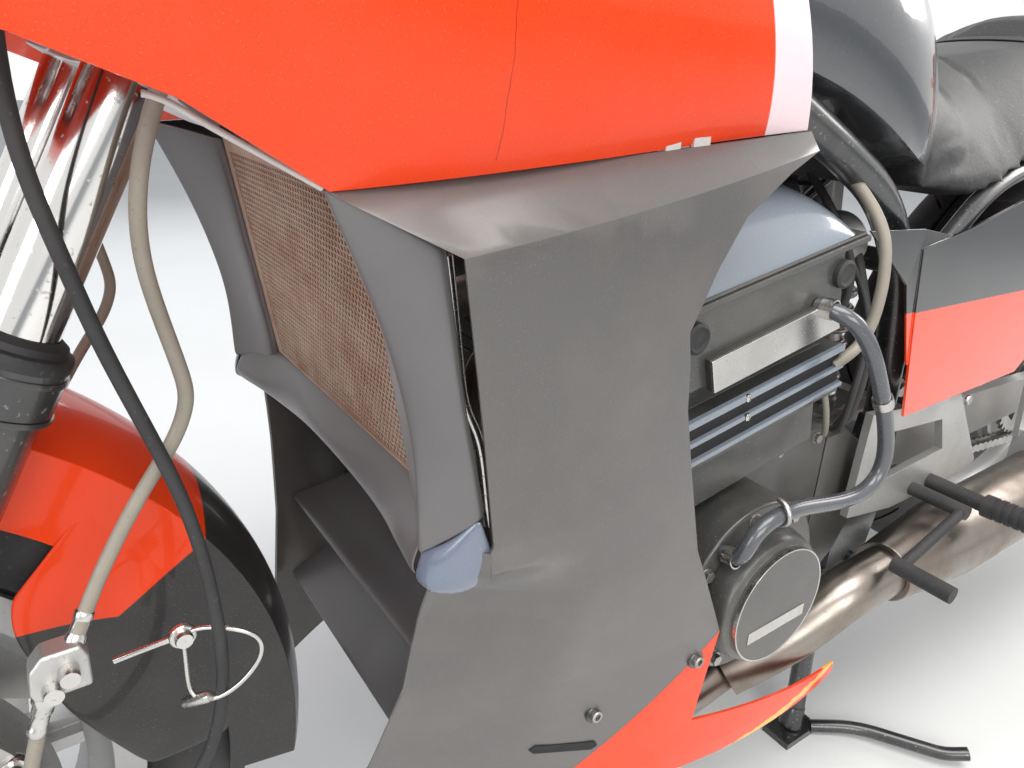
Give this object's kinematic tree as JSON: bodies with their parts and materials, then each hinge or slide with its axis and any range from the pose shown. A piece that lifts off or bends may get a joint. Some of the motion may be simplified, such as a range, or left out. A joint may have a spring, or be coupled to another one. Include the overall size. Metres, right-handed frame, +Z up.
{
  "type": "sport motorcycle",
  "caption": "Sport motorcycle with half fairing, cut-away lower fairing and cast wheels, standing on its centre stand; steering, wheels, stands and filler lid move.",
  "frame": {"origin": "on the ground below the middle of the motorcycle's length, in its centre plane", "axes": "+X forwards, +Y to the rider's left, +Z up"},
  "size_m": [2.194, 0.756, 1.215],
  "materials": {
    "red_paint": "gloss",
    "black_paint": "satin",
    "dark_plastic": "satin",
    "frame_black": "gloss",
    "engine_black": "satin",
    "cast_aluminium": "cast",
    "silver_paint": "satin",
    "chrome": "polished",
    "tyre": "matte",
    "rubber": "matte",
    "steel": "brushed",
    "screen": "clear",
    "lamp_glass": "clear",
    "lamp_red": "clear red",
    "seat_vinyl": "grained",
    "radiator_fins": "painted",
    "rusty_mesh": "rusty",
    "exhaust": "tarnished",
    "wheel_paint": "satin",
    "hose": "matte",
    "lamp_amber": "clear amber"
  },
  "bodies": {
    "root": {"belly_accents": "red_paint", "cam_cover": "engine_black", "carburettors": "cast_aluminium", "drive_chain": "steel", "engine_crankcase": "engine_black", "engine_cylinders": "engine_black", "engine_hoses": "hose", "engine_side_covers": "engine_black", "exhaust_headers": "exhaust", "foot_controls": "rubber", "footpeg_brackets": "cast_aluminium", "frame": "frame_black", "front_cowl": "dark_plastic", "fuel_tank": "red_paint", "headlamp": "lamp_glass", "instrument_cluster": "dark_plastic", "lower_fairing": "black_paint", "mirrors": "dark_plastic", "radiator": "radiator_fins", "radiator_screen": "rusty_mesh", "rear_caliper": "cast_aluminium", "rear_fender": "dark_plastic", "rear_subframe": "cast_aluminium", "seat": "seat_vinyl", "shock_absorber": "steel", "side_covers": "red_paint", "silencer_hangers": "cast_aluminium", "silencers": "exhaust", "swingarm": "silver_paint", "tail_fairing": "red_paint", "tail_lamp": "lamp_red", "turn_signals": "lamp_amber", "upper_fairing": "red_paint", "windscreen": "screen"},
    "filler_lid": {"filler_lid": "cast_aluminium"},
    "centre_stand": {"centre_stand": "frame_black"},
    "side_stand": {"side_stand": "frame_black"},
    "steering": {"triple_clamps": "silver_paint", "fork_tubes": "chrome", "fork_sliders": "frame_black", "front_fender": "red_paint", "handlebars": "cast_aluminium", "grips": "rubber", "control_levers": "frame_black", "front_calipers": "cast_aluminium", "brake_hoses": "hose", "speedometer_cable": "hose"},
    "front_wheel": {"front_tyre": "tyre", "front_wheel_casting": "wheel_paint", "front_discs": "steel"},
    "rear_wheel": {"rear_tyre": "tyre", "rear_wheel_casting": "wheel_paint", "rear_disc": "steel", "rear_sprocket": "steel"}
  },
  "joints": [
    {"name": "steering_turn", "type": "hinge", "parent": "root", "child": "steering", "pos_m": [0.44352, 0, 0.84569], "axis": [-0.4848, 0, 0.8746], "range_deg": [-30, 30]},
    {"name": "front_wheel_spin", "type": "hinge", "parent": "steering", "child": "front_wheel", "pos_m": [0.798, 0, 0.299], "axis": [0, 1, 0], "continuous": true},
    {"name": "rear_wheel_spin", "type": "hinge", "parent": "root", "child": "rear_wheel", "pos_m": [-0.697, 0, 0.352], "axis": [0, 1, 0], "continuous": true},
    {"name": "centre_stand_swing", "type": "hinge", "parent": "root", "child": "centre_stand", "pos_m": [-0.185, 0, 0.228], "axis": [0, 1, 0], "range_deg": [0, 75]},
    {"name": "side_stand_swing", "type": "hinge", "parent": "root", "child": "side_stand", "pos_m": [-0.119, 0.1545, 0.198], "axis": [-0.0876, -0.8518, -0.5165], "range_deg": [0, 93]},
    {"name": "filler_lid_swing", "type": "hinge", "parent": "root", "child": "filler_lid", "pos_m": [0.146, 0, 0.979], "axis": [0, 1, 0], "range_deg": [0, 90]}
  ]
}
